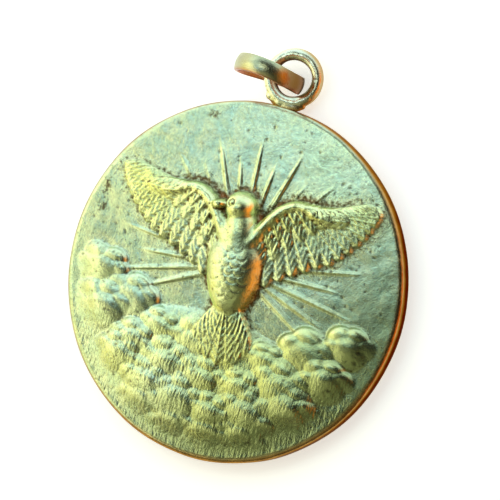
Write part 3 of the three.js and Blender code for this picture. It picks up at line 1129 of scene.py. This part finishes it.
@dataclass
class StruckDisc:
    """The struck disc with its relief, rounded front edge and plain back, in millimetres."""

    radius: float = 11.0
    thickness: float = 1.2
    back_bevel: float = 0.2
    bevel_steps: int = 3
    back_margin: float = 0.6
    edge_width: float = 0.36
    edge_drop: float = 0.22
    edge_steps: int = 6
    edge_wear: float = 0.022
    cells: int = 288
    # The relief dies out toward the rim, and the whole field ripples a little.
    rim: float = 0.45
    relief_margin: float = 2.4
    broad_ripple: float = 0.030
    fine_ripple: float = 0.012
    stains: tuple[Stain, ...] = (
        Stain(-9.70, 3.15, 0.26, 0.70),
        Stain(-9.60, 1.95, 0.34, 0.36),
        Stain(-4.20, 9.40, 0.34, 0.30),
    )
    # Rounds of smoothing: the halo round the dove, then what is near and what is far.
    shore_rounds: int = 110
    shore_gain: float = 2.2
    near_rounds: int = 8
    far_rounds: int = 60
    relief_rounds: int = 6
    # Depths that show fully: a groove between feathers, a hollow or crest, a deep hollow.
    groove_depth: float = 0.035
    form_depth: float = 0.12
    deep_hollow: Place = (0.10, 0.34)
    relief_height: float = 0.3
    hollow_share: float = 0.55
    crest_share: float = 0.7
    pit_share: float = 0.8
    # The strokes start at the top of the bank. Dulling and painted shade grow toward the lower right.
    bank_top: Place = (-2.2, -5.6)
    dull_and_shade_way: Place = (0.727, -0.687)
    dull_and_shade_reach: Place = (0.6, 9.4)
    dull_and_shade_share: float = 0.85
    # Painted shade darkens the right side of the edge, more so below the face.
    shaded_side_way: Place = (0.82, -0.57)
    shaded_side_reach: Place = (-4.0, 8.0)
    wall_shade_height: Place = (1.02, 0.74)
    finish: StruckGiltBrass = StruckGiltBrass()

    def build(self) -> bpy.types.Object:
        """Build the disc and paint its hollows, crests, pits and worn wall.

        Returns:
            The finished piece.
        """
        x, y = self._face_places()
        z, masks = self._face(x, y)
        points, faces = self._solid(x, y, z)
        piece = make_piece("struck_disc", points, faces, "medal")
        for name, values in masks.items():
            full = np.zeros(len(points))
            full[:len(values)] = values
            paint(piece, name, full)
        paint(piece, "wall", self._wall(points))
        # Painted shade on the lower part of the side wall's right side.
        below = smooth_step(*self.wall_shade_height, points[:, 2])
        paint(piece, "wall_shade", self._shaded_side(points) * below)
        piece.data.materials.append(self.finish.make())
        return piece

    def _face_places(self) -> tuple[np.ndarray, np.ndarray]:
        """Spread a square grid evenly over the flat of the face.

        Returns:
            Places across and places up.
        """
        step = np.linspace(-1.0, 1.0, self.cells + 1)
        across, up = (a.ravel() for a in np.meshgrid(step, step))
        wide = np.abs(across) > np.abs(up)
        safe_across = np.where(across == 0.0, 1.0, across)
        safe_up = np.where(up == 0.0, 1.0, up)
        reach = np.where(wide, across, up)
        turn = np.where(
            wide,
            math.pi / 4.0 * up / safe_across,
            math.pi / 2.0 - math.pi / 4.0 * across / safe_up,
        )
        face = self.radius - self.edge_width
        return face * reach * np.cos(turn), face * reach * np.sin(turn)

    def _blur(self, values: np.ndarray, rounds: int) -> np.ndarray:
        """Smooth values over the grid of the face.

        Args:
            values: One value for each point of the grid.
            rounds: How often each value is drawn toward its four neighbours.

        Returns:
            The smoothed values.
        """
        side = self.cells + 1
        grid = values.reshape(side, side)
        for _ in range(rounds):
            wide = np.pad(grid, 1, mode="edge")
            around = wide[:-2, 1:-1] + wide[2:, 1:-1] + wide[1:-1, :-2] + wide[1:-1, 2:]
            grid = around / 8.0 + grid / 2.0
        return grid.ravel()

    def _face(self, x: np.ndarray, y: np.ndarray) -> tuple[np.ndarray, dict[str, np.ndarray]]:
        """Raise the relief over the face and find its hollows, crests and pits.

        Args:
            x: Places across.
            y: Places up.

        Returns:
            The height of each point over the back, and the masks that the finish reads.
        """
        reach = np.hypot(x, y)
        surface = Surface(x, y)
        dove = self._raise_relief(surface, reach)
        spread = self._blur(dove, self.shore_rounds) * self.shore_gain
        shore = np.clip(spread, 0.0, 1.0) * (1.0 - dove)
        ToolMarks().cut_into(surface, self.radius - 1.0)
        pits = Pits().cut_into(surface, shore, self.radius - 0.6)
        relief = surface.z.copy()
        edge = self.radius - self.edge_width
        ripple = self.broad_ripple * waves(x, y, 9.0, 1) + self.fine_ripple * waves(x, y, 3.1, 2)
        surface.z = surface.z * smooth_step(edge, self.radius - 0.75, reach)
        surface.z += ripple * smooth_step(edge, self.radius - 2.8, reach)
        near, far = (self._blur(surface.z, n) for n in (self.near_rounds, self.far_rounds))
        groove = dove * np.clip((near - surface.z) / self.groove_depth, 0.0, 1.0)
        hollow = self.hollow_share * np.clip((far - near) / self.form_depth, 0.0, 1.0)
        raised = self._blur(relief, self.relief_rounds) / self.relief_height
        lower_right = self.dull_and_shade_way[0] * x + self.dull_and_shade_way[1] * y + 0.5 * waves(x, y, 5.0, 9)
        masks = {
            # Hollows: brown tarnish, partly painted shade.
            "recess": np.maximum(hollow, groove),
            # High points: worn paler, partly a painted highlight.
            "crest": self.crest_share * np.clip((near - far) / self.form_depth, 0.0, 1.0),
            "deep": smooth_step(*self.deep_hollow, far - near),
            "pits": self.pit_share * pits,
            "halo": shore,
            "blots": self._blots(x, y),
            # The relief: painted warm light.
            "relief": np.clip(raised, 0.0, 1.0),
            "bank": smooth_step(*self.bank_top, y + 0.35 * waves(x, y, 4.0, 8)),
            # Olive toward the lower right: dulling, partly painted shade.
            "dull_and_shade": self.dull_and_shade_share * smooth_step(*self.dull_and_shade_reach, lower_right),
        }
        return self.thickness + surface.z, masks

    def _raise_relief(self, surface: Surface, reach: np.ndarray) -> np.ndarray:
        """Raise the glory, the clouds and the dove.

        Args:
            surface: Flat surface of the face.
            reach: How far each point is from the middle.

        Returns:
            How much each point belongs to the dove, from 0 to 1.
        """
        Glory().lay_on(surface)
        CloudBank().lay_on(surface)
        surface.z = self._blur(surface.z, 2)
        surface.z *= smooth_step(self.radius - self.rim, self.radius - self.relief_margin, reach) ** 0.8
        ground = surface.z.copy()
        Dove().lay_on(surface)
        return np.clip((surface.z - ground) / self.relief_height, 0.0, 1.0)

    def _blots(self, x: np.ndarray, y: np.ndarray) -> np.ndarray:
        """Spread the stains over the field.

        Args:
            x: Places across.
            y: Places up.

        Returns:
            How stained each point is, from 0 to about 1.
        """
        blots = np.zeros(len(x))
        for stain in self.stains:
            across, up = (x - stain.x) / stain.half_width, (y - stain.y) / stain.half_height
            blots += np.exp(-(across**2) - up**2)
        return blots

    def _solid(self, x: np.ndarray, y: np.ndarray, z: np.ndarray) -> tuple[np.ndarray, list]:
        """Close the face with its rounded edge, side wall, back bevel and back.

        Args:
            x: Places of the face across.
            y: Places of the face up.
            z: Heights of the face.

        Returns:
            Vertices and faces of the closed disc.
        """
        side = self.cells + 1
        number = np.arange(side * side).reshape(side, side)
        faces = np.stack(
            [number[:-1, :-1], number[:-1, 1:], number[1:, 1:], number[1:, :-1]], axis=-1
        ).reshape(-1, 4).tolist()
        edge = np.concatenate([number[0, :-1], number[:-1, -1], number[-1, :0:-1], number[:0:-1, 0]])
        turn = np.arctan2(y[edge], x[edge])
        points = [np.column_stack([x, y, z])]
        before, count = edge, side * side
        worn = self.edge_wear * (waves(4.0 * np.cos(turn), 4.0 * np.sin(turn), 2.2, 31) + 1.0)
        for radius, height, wear in self._edge_rings():
            reach = radius - wear * np.clip(worn, 0.0, None)
            points.append(np.column_stack(
                [reach * np.cos(turn), reach * np.sin(turn), np.full(len(edge), height)]))
            after = np.arange(count, count + len(edge))
            faces += np.column_stack(
                [before, after, np.roll(after, -1), np.roll(before, -1)]).tolist()
            before, count = after, count + len(edge)
        faces.append(before[::-1].tolist())
        return np.concatenate(points), faces

    def _edge_rings(self) -> list[tuple[float, float, float]]:
        """List the rings of vertices from the face round to the back.

        Returns:
            Radius, height and share of the wear of each ring.
        """
        rings = []
        for step in range(1, self.edge_steps + 1):
            angle = math.pi / 2.0 * (1.0 - step / self.edge_steps)
            rings.append((
                self.radius - self.edge_width * (1.0 - math.cos(angle)),
                self.thickness - self.edge_drop * (1.0 - math.sin(angle)),
                math.cos(angle),
            ))
        rings += [(self.radius, self.thickness / 2.0, 1.0), (self.radius, self.back_bevel + 0.04, 1.0)]
        for step in range(1, self.bevel_steps + 1):
            angle = math.pi / 2.0 * step / self.bevel_steps
            rings.append((
                self.radius - self.back_bevel * (1.0 - math.cos(angle)),
                self.back_bevel * (1.0 - math.sin(angle)),
                math.cos(angle),
            ))
        rings.append((self.radius - self.back_margin, 0.0, 0.0))
        return rings

    def _wall(self, points: np.ndarray) -> np.ndarray:
        """Find the side wall, where the gilding has worn through; on the right side it reaches further
        in, as painted shade.

        Args:
            points: Vertices of the disc.

        Returns:
            How worn each vertex is, from 0 to 1.
        """
        reach, height = np.hypot(points[:, 0], points[:, 1]), points[:, 2]
        # Painted shade: the wall reaches further in on the right side.
        worn = 0.20 * self._shaded_side(points)
        wall = smooth_step(self.radius - 0.16 - 1.4 * worn, self.radius - 0.03 - 0.7 * worn, reach)
        return wall * smooth_step(0.02, 0.08, height)

    def _shaded_side(self, points: np.ndarray) -> np.ndarray:
        """Find the right side of the edge, which takes painted shade."""
        along = self.shaded_side_way[0] * points[:, 0] + self.shaded_side_way[1] * points[:, 1]
        return smooth_step(*self.shaded_side_reach, along)


@dataclass(frozen=True)
class Lump:
    """A lump of solder: place from the ear's centre, and half sizes, across, along and up."""

    across: float
    along: float
    up: float
    half_width: float
    half_length: float
    half_height: float


@dataclass
class SolderedEar:
    """The round-wire ear with its lumps of solder, in millimetres."""

    outer_diameter: float = 3.7
    wire: float = 0.78
    twist: float = math.radians(10.0)
    seat: float = 0.05
    left_height: float = 1.06
    disc_radius: float = 11.0
    segments: int = 96
    sides: int = 24
    flattening: float = 0.035
    voxel: float = 0.05
    smoothing: int = 8
    lumps: tuple[Lump, ...] = (
        Lump(0.0, -1.66, 0.0, 1.05, 0.34, 0.30),
        Lump(-0.82, -1.44, 0.08, 0.44, 0.30, 0.30),
        Lump(-1.12, -1.30, 0.16, 0.30, 0.36, 0.27),
        Lump(-0.42, -1.58, 0.12, 0.40, 0.26, 0.28),
        Lump(0.80, -1.48, -0.10, 0.42, 0.26, 0.26),
        Lump(0.34, -1.60, -0.04, 0.40, 0.26, 0.28),
    )
    knock_count: int = 46
    knock_size: Place = (0.08, 0.2)
    knock_depth: Place = (0.010, 0.030)
    knock_seed: int = 41
    # Rubbing, with painted shade, fades away from the hole. A painted reflection in deeper gold lies
    # outside, toward the right.
    rub_and_shade_band: Place = (0.24, 0.02)
    rub_and_shade_share: float = 0.9
    reflection_band: Place = (0.10, 0.34)
    reflection_side: Place = (-0.6, 0.9)
    reflection_share: float = 0.85
    # Its dark is the deeper gold of the painted reflection; its copper is dark brown, partly painted
    # shade.
    finish: DrawnGiltWire = DrawnGiltWire(
        "soldered_gilt_wire", gilt="#ECEED0", dark="#B48C48", copper="#5E3E1E",
        dark_share=0.18, roughness=0.26)

    def build(self) -> bpy.types.Object:
        """Join wire and solder into one skin and dress it.

        Returns:
            The finished piece.
        """
        shell = bmesh.new()
        self._add_wire(shell)
        for lump in self.lumps:
            self._add_lump(shell, lump)
        mesh = bpy.data.meshes.new("ear_shell")
        shell.to_mesh(mesh)
        shell.free()
        rough = bpy.data.objects.new("ear_shell", mesh)
        bpy.context.scene.collection.objects.link(rough)
        remesh = rough.modifiers.new("skin", "REMESH")
        remesh.mode, remesh.voxel_size = "VOXEL", self.voxel
        smooth = rough.modifiers.new("flow", "SMOOTH")
        smooth.factor, smooth.iterations = 0.5, self.smoothing
        skin = bpy.data.meshes.new_from_object(
            rough.evaluated_get(bpy.context.evaluated_depsgraph_get()))
        points = np.array([v.co for v in skin.vertices])
        faces = [list(p.vertices) for p in skin.polygons]
        bpy.data.objects.remove(rough)
        points = self._knock(points)
        piece = make_piece("soldered_ear", points, faces, "medal")
        paint(piece, "rub", self._rub_and_inner_shade(points))
        paint(piece, "tarnish", self._outer_reflection(points))
        piece.data.materials.append(self.finish.make())
        return piece

    @property
    def mean_radius(self) -> float:
        """Radius of the circle that the middle of the wire follows."""
        return (self.outer_diameter - self.wire) / 2.0

    @property
    def centre(self) -> tuple[float, float, float]:
        """Middle of the ear's ring."""
        return (0.0, self.disc_radius + self.outer_diameter / 2.0 - self.seat,
                self.left_height - self.mean_radius * math.sin(self.twist))

    def _add_wire(self, shell: bmesh.types.BMesh) -> None:
        """Add the bent wire, a little flattened by wear.

        Args:
            shell: Mesh that takes the wire.
        """
        turn = Matrix.Translation(self.centre) @ Matrix.Rotation(self.twist, 4, "Y")
        rows = []
        for i in range(self.segments):
            round_angle = 2.0 * math.pi * i / self.segments
            worn = self.flattening * (1.0 + math.sin(3.0 * round_angle + 0.7))
            thick = self.wire / 2.0 * (1.0 - worn)
            row = []
            for j in range(self.sides):
                angle = 2.0 * math.pi * j / self.sides
                reach = self.mean_radius + thick * math.cos(angle)
                row.append(shell.verts.new(turn @ Vector((
                    reach * math.cos(round_angle), reach * math.sin(round_angle),
                    thick * math.sin(angle)))))
            rows.append(row)
        for i, a in enumerate(rows):
            b = rows[(i + 1) % self.segments]
            for j in range(self.sides):
                k = (j + 1) % self.sides
                shell.faces.new((a[j], b[j], b[k], a[k]))

    def _add_lump(self, shell: bmesh.types.BMesh, lump: Lump) -> None:
        """Add one flowed lump of solder.

        Args:
            shell: Mesh that takes the lump.
            lump: Its place and sizes.
        """
        place = Vector(self.centre) + Vector((lump.across, lump.along, lump.up))
        sizes = Matrix.Diagonal((lump.half_width, lump.half_length, lump.half_height, 1.0))
        bmesh.ops.create_icosphere(
            shell, subdivisions=4, radius=1.0, matrix=Matrix.Translation(place) @ sizes)

    def _knock(self, points: np.ndarray) -> np.ndarray:
        """Press small knocks into the wire and the solder.

        Args:
            points: Vertices of the ear.

        Returns:
            The moved vertices.
        """
        rng = np.random.default_rng(self.knock_seed)
        moved = points.copy()
        middle = np.array(self.centre)
        for place in rng.choice(len(points), self.knock_count, replace=False):
            size, depth = rng.uniform(*self.knock_size), rng.uniform(*self.knock_depth)
            gap = np.linalg.norm(points - points[place], axis=1)
            inward = points[place] - middle
            inward[:2] *= 1.0 - self.mean_radius / np.linalg.norm(inward[:2])
            inward /= np.linalg.norm(inward)
            moved -= depth * np.exp(-((gap / size) ** 2))[:, None] * inward
        return moved

    def _rub_and_inner_shade(self, points: np.ndarray) -> np.ndarray:
        """Find the inside of the wire, rubbed coppery by the jump ring and darkened by painted shade.

        Args:
            points: Vertices of the ear.

        Returns:
            How rubbed and shaded each vertex is, from 0 to 1.
        """
        reach = np.hypot(points[:, 0], points[:, 1] - self.centre[1])
        inner = self.mean_radius - self.wire / 2.0
        none, full = self.rub_and_shade_band
        return self.rub_and_shade_share * smooth_step(inner + none, inner + full, reach)

    def _outer_reflection(self, points: np.ndarray) -> np.ndarray:
        """Find the outside of the wire's right half, where a painted reflection turns the gilding a
        deeper gold.

        Args:
            points: Vertices of the ear.

        Returns:
            How deep in colour each vertex is, from 0 to 1.
        """
        reach = np.hypot(points[:, 0], points[:, 1] - self.centre[1])
        none, full = self.reflection_band
        outside = smooth_step(self.mean_radius + none, self.mean_radius + full, reach)
        return self.reflection_share * outside * smooth_step(*self.reflection_side, points[:, 0])


@dataclass
class JumpRing:
    """The loose flat-band jump ring, in millimetres."""

    outer_diameter: float = 4.4
    wall: float = 0.32
    band: float = 1.08
    crown: float = 0.1
    lean: float = math.radians(4.0)
    turn: float = math.radians(3.5)
    warp: float = 0.1
    wear: float = 0.008
    corner: float = 0.07
    crown_points: int = 13
    corner_steps: int = 4
    segments: int = 144
    # Metal shows coppery inside and along the lower edge. Painted shade darkens the right
    # end of the ring, and half as much its left end.
    edge_sharpness: int = 5
    right_shade: Place = (0.40, 1.0)
    left_shade: Place = (-0.80, -1.0)
    left_shade_share: float = 0.5
    finish: DrawnGiltWire = DrawnGiltWire(
        "rubbed_gilt_band", gilt="#BCBC96", dark="#765020", copper="#C08066",
        dark_share=0.25, roughness=0.22)

    def build(self) -> bpy.types.Object:
        """Turn the band's section round the ring's axis and dress it.

        Returns:
            The finished piece.
        """
        section = self._section()
        count = len(section)
        angle = np.repeat(2.0 * math.pi * np.arange(self.segments) / self.segments, count)
        radius, along = (np.tile(column, self.segments) for column in np.array(section).T)
        turn = Matrix.Rotation(-self.turn, 3, "Z") @ Matrix.Rotation(-self.lean, 3, "X")
        worn = self.wear * (1.0 + np.sin(5.0 * angle + 1.3) * np.sin(2.0 * angle))
        reach = radius - worn * (radius > (self.outer_diameter - self.wall) / 2.0)
        bowed = along + self.warp * np.cos(2.0 * angle)
        points = np.column_stack([reach * np.sin(angle), bowed, reach * np.cos(angle)])
        points = points @ np.array(turn).T
        low, high = (np.array(corner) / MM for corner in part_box("jump_ring"))
        points += (low + high) / 2.0 - (points.min(axis=0) + points.max(axis=0)) / 2.0
        faces = [
            (i * count + j, i * count + (j + 1) % count,
             (i + 1) % self.segments * count + (j + 1) % count, (i + 1) % self.segments * count + j)
            for i in range(self.segments) for j in range(count)
        ]
        piece = make_piece("jump_ring_band", points, faces, "jump_ring")
        inside = radius < self.outer_diameter / 2.0 - 0.6 * self.wall
        lower = np.clip(-along / self.band * 2.0, 0.0, None) ** self.edge_sharpness
        paint(piece, "rub", np.maximum(inside, lower))
        # Painted shade on the ends of the band.
        right, left = (smooth_step(*end, np.sin(angle)) for end in (self.right_shade, self.left_shade))
        paint(piece, "tarnish", right + self.left_shade_share * left)
        piece.data.materials.append(self.finish.make())
        return piece

    def _section(self) -> list[Place]:
        """Outline the band's section: crowned outside, rounded corners and flat inside.

        Returns:
            Radius and place along the ring's axis of each point, in order.
        """
        outer, half = self.outer_diameter / 2.0, self.band / 2.0
        inner = outer - self.wall
        section = []
        for share in np.arange(self.crown_points) / (self.crown_points - 1):
            fall = 4.0 * self.crown * (share - 0.5) ** 2 * (1.0 - self.corner)
            section.append((outer - fall, (half - self.corner) * (2.0 * share - 1.0)))
        angles = [math.pi / 2.0 * step / self.corner_steps for step in range(self.corner_steps + 1)]
        corners = [
            (outer - self.crown - self.corner * (1.0 - math.cos(angle)),
             half - self.corner * (1.0 - math.sin(angle)))
            for angle in angles[1:-1]
        ] + [
            (inner + self.corner * (1.0 - math.sin(angle)),
             half - self.corner * (1.0 - math.cos(angle)))
            for angle in angles
        ]
        return section + corners + [(radius, -along) for radius, along in reversed(corners)]


@dataclass(frozen=True)
class SoftBox:
    """One soft area light, placed as the camera sees it: right, up and toward the camera."""

    name: str
    aim: tuple[float, float, float]
    distance: float
    size: Place
    watts: float
    colour: str


@dataclass(frozen=True)
class Glow:
    """A patch of the studio's walls, bright or dim, that fades out between two angles."""

    aim: tuple[float, float, float]
    full: float
    gone: float
    strength: float
    colour: str


@dataclass
class Studio:
    """Camera, soft lights and pale floor, in millimetres and degrees."""

    distance: float = 160.0
    tilt: float = 22.41
    azimuth: float = 9.39
    roll: float = 16.69
    # Where the camera looks: to the right of the disc's middle, and above it.
    offset: Place = (1.164, 1.883)
    height: float = 1.2
    pixels_per_mm: float = 16.562
    image: float = 500.0
    sensor: float = 36.0
    floor: MattCard = MattCard()
    floor_half_width_m: float = 4.0
    wall_strength: float = 1.5
    wall_colour: str = "#F4F6E6"
    boxes: tuple[SoftBox, ...] = (
        SoftBox("window", (-0.93, 0.02, 0.36), 82.0, (85.0, 45.0), 0.0215, "#F6F8D4"),
        SoftBox("sky", (-0.616, 0.481, 0.626), 81.0, (40.0, 90.0), 0.0100, "#C0E8F8"),
        SoftBox("lamp", (-0.35, 0.45, 0.82), 45.0, (14.0, 14.0), 0.0011, "#F0F6DC"),
        SoftBox("screen", (-0.570, 0.344, 0.746), 45.0, (12.0, 7.0), 0.0006, "#94C4FF"),
    )
    glows: tuple[Glow, ...] = (
        Glow((0.1, 1.0, 0.45), 20.0, 60.0, 1.6, "#D6F2FF"),
        Glow((-1.0, -0.5, 0.2), 20.0, 60.0, 1.5, "#F8F0A8"),
        Glow((-0.36, -0.26, 0.88), 48.0, 74.0, 0.045, "#B8C8C8"),
        Glow((0.25, -0.85, 0.46), 18.0, 46.0, 0.40, "#A09878"),
        Glow((-0.52, -0.50, 0.69), 8.0, 28.0, 0.60, "#E0E8B8"),
        Glow((0.30, -0.48, 0.82), 12.0, 30.0, 0.13, "#A0A078"),
        Glow((0.62, -0.66, 0.42), 24.0, 56.0, 0.38, "#A0A878"),
        Glow((0.85, -0.25, 0.40), 20.0, 46.0, 1.6, "#F0903C"),
    )

    def build(self) -> None:
        """Set up the camera, the lights, the world and the floor."""
        self._place_camera()
        for box in self.boxes:
            self._hang(box)
        self._light_walls()
        self._lay_floor()

    @property
    def axes(self) -> tuple[Vector, Vector, Vector]:
        """Find the camera's own axes.

        Returns:
            The image's right and up and the way toward the camera.
        """
        tilt, azimuth, roll = (math.radians(v) for v in (self.tilt, self.azimuth, self.roll))
        toward = Vector((
            math.sin(tilt) * math.cos(azimuth), math.sin(tilt) * math.sin(azimuth), math.cos(tilt)))
        upright = Vector((0.0, 1.0, 0.0))
        upright = (upright - toward * upright.dot(toward)).normalized()
        level = upright.cross(toward)
        right = math.cos(roll) * level + math.sin(roll) * upright
        up = -math.sin(roll) * level + math.cos(roll) * upright
        return right, up, toward

    def _way(self, aim: tuple[float, float, float]) -> Vector:
        """Turn a way given as right, up and toward the camera into the frame's axes."""
        right, up, toward = self.axes
        return (aim[0] * right + aim[1] * up + aim[2] * toward).normalized()

    def _place_camera(self) -> None:
        """Place the camera at the photograph's angle and distance."""
        right, up, toward = self.axes
        target = Vector((0.0, 0.0, self.height)) + self.offset[0] * right + self.offset[1] * up
        data = bpy.data.cameras.new("camera")
        data.sensor_width = self.sensor
        data.lens = self.pixels_per_mm * self.distance * self.sensor / self.image
        data.clip_start, data.clip_end = 10.0 * MM, 10.0
        camera = bpy.data.objects.new("camera", data)
        turn = Matrix((right, up, toward)).transposed().to_4x4()
        camera.matrix_world = Matrix.Translation((target + self.distance * toward) * MM) @ turn
        bpy.context.scene.collection.objects.link(camera)
        bpy.context.scene.camera = camera

    def _hang(self, box: SoftBox) -> None:
        """Hang one soft area light that faces the medal.

        Args:
            box: The light's place, size, power and colour.
        """
        aim = self._way(box.aim)
        data = bpy.data.lights.new(box.name, "AREA")
        data.shape = "RECTANGLE"
        data.size, data.size_y = box.size[0] * MM, box.size[1] * MM
        data.energy = box.watts
        data.color = linear(box.colour)[:3]
        light = bpy.data.objects.new(box.name, data)
        light.location = (Vector((0.0, 0.0, self.height)) + box.distance * aim) * MM
        light.rotation_euler = aim.to_track_quat("Z", "Y").to_euler()
        light.visible_camera = False
        bpy.context.scene.collection.objects.link(light)

    def _light_walls(self) -> None:
        """Light the studio's walls, softly patched, and show the camera plain pale ones."""
        world = bpy.data.worlds.new("studio")
        world.use_nodes = True
        tree = world.node_tree
        tree.nodes.clear()
        way = add_node(tree, "ShaderNodeTexCoord").outputs["Generated"]
        light = self._radiance(self.wall_colour, self.wall_strength)
        for glow in self.glows:
            facing = add_node(tree, "ShaderNodeVectorMath", {"operation": "DOT_PRODUCT"}, {
                0: way, 1: self._way(glow.aim)})
            share = add_node(tree, "ShaderNodeMapRange", {"interpolation_type": "SMOOTHSTEP"}, {
                "Value": facing.outputs["Value"],
                "From Min": math.cos(math.radians(glow.gone)),
                "From Max": math.cos(math.radians(glow.full))})
            light = add_node(tree, "ShaderNodeMix", {"data_type": "RGBA"}, {
                0: share.outputs["Result"], 6: light,
                7: self._radiance(glow.colour, glow.strength)}).outputs[2]
        walls = add_node(tree, "ShaderNodeBackground", None, {"Color": light})
        plain = add_node(tree, "ShaderNodeBackground", None, {"Color": linear(self.floor.colour)})
        seen = add_node(tree, "ShaderNodeLightPath").outputs["Is Camera Ray"]
        shown = add_node(tree, "ShaderNodeMixShader", None, {
            0: seen, 1: walls.outputs[0], 2: plain.outputs[0]})
        add_node(tree, "ShaderNodeOutputWorld", None, {"Surface": shown.outputs[0]})
        bpy.context.scene.world = world
        bpy.context.scene.view_settings.view_transform = "Standard"

    def _radiance(self, colour: str, strength: float) -> Colour:
        """Scale a colour to the strength of a wall's light."""
        red, green, blue, _ = linear(colour)
        return strength * red, strength * green, strength * blue, 1.0

    def _lay_floor(self) -> None:
        """Lay the pale floor."""
        shell = bmesh.new()
        bmesh.ops.create_grid(shell, x_segments=1, y_segments=1, size=self.floor_half_width_m)
        mesh = bpy.data.meshes.new("floor")
        shell.to_mesh(mesh)
        shell.free()
        mesh.materials.append(self.floor.make())
        floor = bpy.data.objects.new("floor", mesh)
        bpy.context.scene.collection.objects.link(floor)
        floor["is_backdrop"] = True


def corners() -> list[list[float]]:
    """Give the object's box as plain lists."""
    return [[round(float(v), 6) for v in corner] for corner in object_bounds()]


def main() -> None:
    """Build the studio and the pieces in order and report each piece."""
    logging.basicConfig(level=logging.INFO, format="%(name)s: %(message)s")
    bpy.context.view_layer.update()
    Studio().build()
    for sub_assembly in (StruckDisc(), SolderedEar(), JumpRing()):
        piece = sub_assembly.build()
        piece.data.update()
        LOG.info("%s: %d faces", piece.name, len(piece.data.polygons))


if __name__ == "__main__":
    main()
